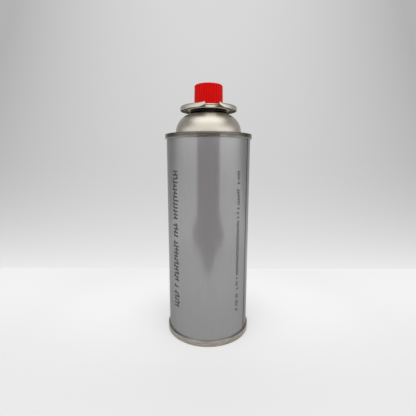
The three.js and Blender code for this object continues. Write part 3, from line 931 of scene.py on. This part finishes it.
# The cap
def make_cap(cap):
    """The ribbed cap: rounded ribs outside and a hollow with a stepped roof inside."""
    height = CAP_TOP - CAP_FOOT
    top_radius = CAP_FOOT_RADIUS - cap.taper
    rib_foot = CAP_FOOT + cap.rib_foot

    def radius_at(z):
        return CAP_FOOT_RADIUS - cap.taper * (z - CAP_FOOT) / height

    rows = 26
    foot_edge = 0.25 * MM
    mouth_edge = 0.4 * MM
    roof_edge = 0.6 * MM
    crown_margin = 3.0 * MM
    side_foot = CAP_FOOT + foot_edge
    side_head = CAP_TOP - cap.edge
    inner = CAP_FOOT_RADIUS - cap.wall
    inner_top = top_radius - cap.wall
    ceiling = CAP_TOP - cap.roof
    side = [side_foot + (side_head - side_foot) * i / rows for i in range(rows + 1)]
    outline = (
        arc((CAP_FOOT_RADIUS - foot_edge, side_foot), foot_edge, 270, 350, 4)
        + [Vector((radius_at(z), z)) for z in side]
        + arc((top_radius - cap.edge, side_head), cap.edge, 8, 86, 10)
        + [Vector((top_radius - crown_margin, CAP_TOP + 0.6 * cap.crown))]
        + [Vector((0, CAP_TOP + cap.crown)), Vector((0, ceiling))]
        + [Vector((inner_top - roof_edge, ceiling)), Vector((inner_top, ceiling - roof_edge))]
        + [Vector((inner, CAP_FOOT + mouth_edge)), Vector((inner + mouth_edge, CAP_FOOT))]
    )
    slack = 0.1 * MM
    run_in = 0.5 * MM
    run_out = 0.9 * cap.edge
    groove_head = CAP_TOP - 0.25 * MM

    def ribbed(point, turn):
        r, z = point
        outside = r > radius_at(z) - cap.edge - slack and r > inner + mouth_edge + slack / 2
        rise = max(0.0, min(1.0, (z - rib_foot) / run_in))
        fade = max(0.0, min(1.0, (groove_head - z) / run_out))
        groove = (0.5 - 0.5 * math.cos(turn * cap.ribs)) ** 2
        return (r - cap.rib_depth * groove * rise * fade * outside, z)

    bm = lathe_mesh(outline, cap.ribs * 12, ribbed)
    piece = object_from("ribbed_cap", bm, 40)
    dress(piece, "cap", "red_plastic", shared(red_plastic), "cap")


def make_grip_pads(cap, valve):
    """The pads in the cap's mouth, each with rounded edges, that hold the pedestal."""
    pads = 6
    pad_width = 2.4 * MM
    pad_height = 3.2 * MM
    pad_foot = CAP_FOOT + 0.4 * MM
    clearance = 0.2 * MM
    overlap = 0.2 * MM
    inner = valve.pedestal_radius + clearance
    outer = CAP_FOOT_RADIUS - cap.wall + overlap
    bm = bmesh.new()
    for i in range(pads):
        turn = Matrix.Rotation(2 * math.pi * i / pads, 4, "Z")
        middle = Matrix.Translation(((inner + outer) / 2, 0, pad_foot + pad_height / 2))
        size = Matrix.Diagonal((outer - inner, pad_width, pad_height, 1))
        bmesh.ops.create_cube(bm, size=1, matrix=turn @ middle @ size)
    bmesh.ops.bevel(
        bm, geom=bm.edges[:], offset=0.3 * MM, segments=3, profile=0.5, affect="EDGES", clamp_overlap=True
    )
    piece = object_from("grip_pads", bm, 60)
    dress(piece, "cap", "red_plastic", shared(red_plastic))


# The studio
def in_studio(x, y, z, studio):
    """A place given from the camera's side: x to its right, y away from it."""
    return Matrix.Rotation(studio.heading, 4, "Z") @ Vector((x, y, z))


def make_camera(studio):
    camera = bpy.data.objects.new("camera", bpy.data.cameras.new("camera"))
    bpy.context.scene.collection.objects.link(camera)
    camera.data.sensor_width = 36.0
    camera.data.lens = studio.lens
    camera.data.clip_start = 0.01
    camera.location = in_studio(-studio.shift, -studio.distance, studio.height, studio)
    tilt = Euler((math.radians(90) - studio.pitch, 0, 0)).to_matrix()
    roll = Matrix.Rotation(studio.roll, 3, "Z")
    camera.rotation_euler = (Matrix.Rotation(studio.heading, 3, "Z") @ tilt @ roll).to_euler()
    bpy.context.scene.camera = camera


def floor_material(studio):
    """Matt pale board, lifted evenly for camera rays, with a painted pool of light that makes it paler
    behind the can towards the wall and most near the can, and a painted glow that shows only in the can's
    gloss.
    """
    shader = new_shader("floor")
    speckle = shader.noise(shader.place(), 700.0, 2.0)
    x, y, _ = shader.parts(shader.place())
    ahead = in_studio(0, 1, 0, studio)
    radius = (x * x + y * y) ** 0.5
    behind = (x * ahead.x + y * ahead.y).step(-0.08, 0.07)
    near = 1 - radius.step(0.06, 0.17)
    # Painted light: an even lift, plus a pool of glow on the floor behind the can that is strongest near
    # it.
    glow_for_camera = 0.11 + behind * (0.09 + 0.12 * near)
    # Painted reflection: the floor glows in the can's gloss, more so farther out.
    glow_in_gloss = 0.10 * radius.step(0.06, 0.15) + 0.16 * radius.step(0.27, 0.31)
    painted_glow = shader.light_path("Is Camera Ray") * glow_for_camera + shader.light_path("Is Glossy Ray") * glow_in_gloss
    return shader.finish(
        Base_Color=shader.tinted(studio.floor, 0.97 + 0.03 * speckle),
        Roughness=0.7,
        Specular_IOR_Level=0.1,
        Emission_Color=shader.grey(painted_glow),
        Emission_Strength=1.0,
        Normal=shader.bump(speckle, 0.02 * MM, 0.2),
    )


def make_floor(studio):
    """The board that the can stands on, with its back edge in view."""
    half = 1600 * MM
    bm = bmesh.new()
    corners = [(-half, -half), (half, -half), (half, studio.wall_distance), (-half, studio.wall_distance)]
    verts = [bm.verts.new(in_studio(x, y, 0, studio)) for x, y in corners]
    bm.faces.new(verts)
    mesh = bpy.data.meshes.new("floor")
    bm.to_mesh(mesh)
    bm.free()
    floor = new_object("floor", mesh)
    floor.data.materials.append(floor_material(studio))


def make_lamp(studio):
    """One wide softbox overhead, a little towards the camera."""
    light = bpy.data.lights.new("overhead_softbox", "AREA")
    light.shape = "RECTANGLE"
    light.size = studio.lamp_width
    light.size_y = studio.lamp_depth
    light.energy = studio.lamp_watts
    lamp = bpy.data.objects.new("overhead_softbox", light)
    bpy.context.scene.collection.objects.link(lamp)
    lamp.location = in_studio(0, -studio.lamp_forward, studio.lamp_height, studio)
    direction = Vector((0, 0, studio.lamp_aim)) - lamp.location
    lamp.rotation_euler = direction.to_track_quat("-Z", "Y").to_euler()


def flag_material():
    """Dull grey cloth, paler near the floor."""
    pale = (0.80, 0.70, 0.705)
    dull = (0.62, 0.53, 0.535)
    shader = new_shader("grey_cloth")
    weave = shader.noise(shader.place(), 900.0, 2.0)
    height = shader.parts(shader.place())[2]
    base = shader.blend(height.step(0.01, 0.15) + 0.1 * weave, pale, dull)
    return shader.finish(Base_Color=base, Roughness=0.9 + 0.05 * weave)


def make_flag(studio):
    """A grey cloth that only shows in the can's gloss: a panel, two wings below it and a point."""
    half = studio.flag_width / 2
    panel_foot = 76 * MM
    wing_tip = 41 * MM
    wing_root = 34 * MM
    point_knee = 22 * MM
    right = [
        (half, studio.flag_head),
        (half, panel_foot),
        (half * 1.9, wing_tip),
        (half * 0.72, wing_root),
        (half * 0.45, point_knee),
        (half * 0.12, studio.flag_foot),
    ]
    outline = right + [(-x, z) for x, z in right[::-1]]
    bm = bmesh.new()
    bm.faces.new([bm.verts.new(in_studio(x, -studio.flag_distance, z, studio)) for x, z in outline])
    mesh = bpy.data.meshes.new("flag")
    bm.to_mesh(mesh)
    bm.free()
    flag = new_object("flag", mesh)
    flag.data.materials.append(flag_material())
    flag.visible_camera = False
    flag.visible_diffuse = False
    flag.visible_shadow = False


def back_wall(across, up):
    """The lit wall behind the can: paler at its foot and head, darker in its upper corners.

    across and up are the slopes of the view to the side and upwards.
    """
    low = up.least(0.0).most(-0.39)
    level = 0.645 + 1.3 * low * low + 0.1 * up.most(0.0).least(0.5)
    corner = (across * across * 2.15 * (0.21 + 0.5 * up)).most(0.0).least(0.35)
    return level * (1 - corner)


def bright_front(turn, side, z):
    """The room before the can: a bright band and a glow over it, brighter to one side.

    turn is the angle away from the camera's side, and side and z are the view's direction.
    """
    band_height = 0.18
    band_reach = 0.17
    band = 1 - abs(z - band_height).step(0.0, band_reach)
    glow = z.step(0.33, 0.5) * (1 - turn.step(0.2, 1.2))
    return (0.95 + 0.95 * band + 0.3 * glow) * (1 + 0.12 * side)


def make_world(studio):
    """A pale room: a lit wall behind the can that fades to its sides, dim flanks and a bright front."""
    world = bpy.data.worlds.new("studio")
    bpy.context.scene.world = world
    shader = Shader(world)
    x, y, z = shader.parts(shader.node("ShaderNodeTexCoord", output="Generated"))
    ahead = in_studio(0, 1, 0, studio)
    aside = in_studio(1, 0, 0, studio)
    depth = x * ahead.x + y * ahead.y
    side = x * aside.x + y * aside.y
    width = abs(side)
    away = abs(depth).most(0.05)
    across = width / away
    wall = back_wall(across, z / away)
    turn = width.maths("ARCTAN2", width, -depth)
    front = 1 - (turn + 0.45 * z.step(0.25, 0.5)).step(math.radians(65), math.radians(115))
    back_sky = 1 - 0.5 * z.step(0.45, 0.8)
    flank = 1 - 0.3 * across.step(0.8, 1.7)
    upper = front * bright_front(turn, side, z) + (1 - front) * wall * flank * back_sky
    ceiling = z.step(0.80, 0.97)
    room = upper * (1 - ceiling) + 0.55 * ceiling
    above = z.step(-0.12, -0.02)
    lower = 0.98 * front + (1 - front) * wall
    tone = room * above + lower * (1 - above)
    beside = across.step(0.75, 1.5).most(depth.maths("LESS_THAN", depth, 0.0))
    shown = wall * (1 - beside) + 0.80 * beside
    seen = shader.light_path("Is Camera Ray")
    final = seen * shown + (1 - seen) * tone
    light = shader.node("ShaderNodeBackground", {}, {"Color": shader.grey(final), "Strength": 1.0})
    shader.node("ShaderNodeOutputWorld", {}, {"Surface": light})


# Operators
class CANISTER_OT_can(bpy.types.Operator):
    """Make the wall, seams, dome and base of the can"""

    bl_idname = "canister.can"
    bl_label = "Can"

    def execute(self, context):
        can = context.scene.can_settings
        make_wall(can)
        make_top_seam(can)
        make_base_seam(can)
        make_dome(can)
        make_base(can)
        return {"FINISHED"}


class CANISTER_OT_valve(bpy.types.Operator):
    """Make the valve's cup, stem and spring, and finish the parts inside"""

    bl_idname = "canister.valve"
    bl_label = "Valve"

    def execute(self, context):
        valve = context.scene.valve_settings
        make_valve_cup(valve, context.scene.can_settings)
        make_stem(valve)
        make_spring(valve)
        refinish("cup_gasket", shared(rubber))
        refinish("stem_gasket", shared(rubber))
        refinish("valve_housing", shared(nylon))
        refinish("vapour_tube", shared(nylon))
        return {"FINISHED"}


class CANISTER_OT_collar(bpy.types.Operator):
    """Make the notched locking collar"""

    bl_idname = "canister.collar"
    bl_label = "Collar"

    def execute(self, context):
        scene = context.scene
        make_collar(scene.collar_settings, scene.can_settings, scene.valve_settings)
        return {"FINISHED"}


class CANISTER_OT_cap(bpy.types.Operator):
    """Make the ribbed cap and the pads inside it"""

    bl_idname = "canister.cap"
    bl_label = "Cap"

    def execute(self, context):
        scene = context.scene
        make_cap(scene.cap_settings)
        make_grip_pads(scene.cap_settings, scene.valve_settings)
        return {"FINISHED"}


class CANISTER_OT_studio(bpy.types.Operator):
    """Make the camera, floor, room, lamp and grey cloth"""

    bl_idname = "canister.studio"
    bl_label = "Studio"

    def execute(self, context):
        studio = context.scene.studio_settings
        make_camera(studio)
        make_floor(studio)
        make_world(studio)
        make_lamp(studio)
        make_flag(studio)
        context.scene.view_settings.view_transform = "Standard"
        return {"FINISHED"}


class CANISTER_PT_panel(bpy.types.Panel):
    """Lists the canister's pieces"""

    bl_idname = "CANISTER_PT_panel"
    bl_label = "Fuel canister"
    bl_space_type = "VIEW_3D"
    bl_region_type = "UI"
    bl_category = "Canister"

    def draw(self, context):
        for operator in OPERATORS:
            self.layout.operator(operator.bl_idname)


SETTINGS = {
    "can_settings": CanSettings,
    "valve_settings": ValveSettings,
    "collar_settings": CollarSettings,
    "cap_settings": CapSettings,
    "studio_settings": StudioSettings,
}
OPERATORS = (
    CANISTER_OT_can,
    CANISTER_OT_valve,
    CANISTER_OT_collar,
    CANISTER_OT_cap,
    CANISTER_OT_studio,
)


def register():
    for name, group in SETTINGS.items():
        bpy.utils.register_class(group)
        setattr(bpy.types.Scene, name, bpy.props.PointerProperty(type=group))
    for operator in OPERATORS:
        bpy.utils.register_class(operator)
    bpy.utils.register_class(CANISTER_PT_panel)


def unregister():
    bpy.utils.unregister_class(CANISTER_PT_panel)
    for operator in reversed(OPERATORS):
        bpy.utils.unregister_class(operator)
    for name, group in reversed(SETTINGS.items()):
        delattr(bpy.types.Scene, name)
        bpy.utils.unregister_class(group)


def main():
    register()
    bpy.ops.canister.studio()
    bpy.ops.canister.can()
    bpy.ops.canister.valve()
    bpy.ops.canister.collar()
    bpy.ops.canister.cap()


if __name__ == "__main__":
    main()
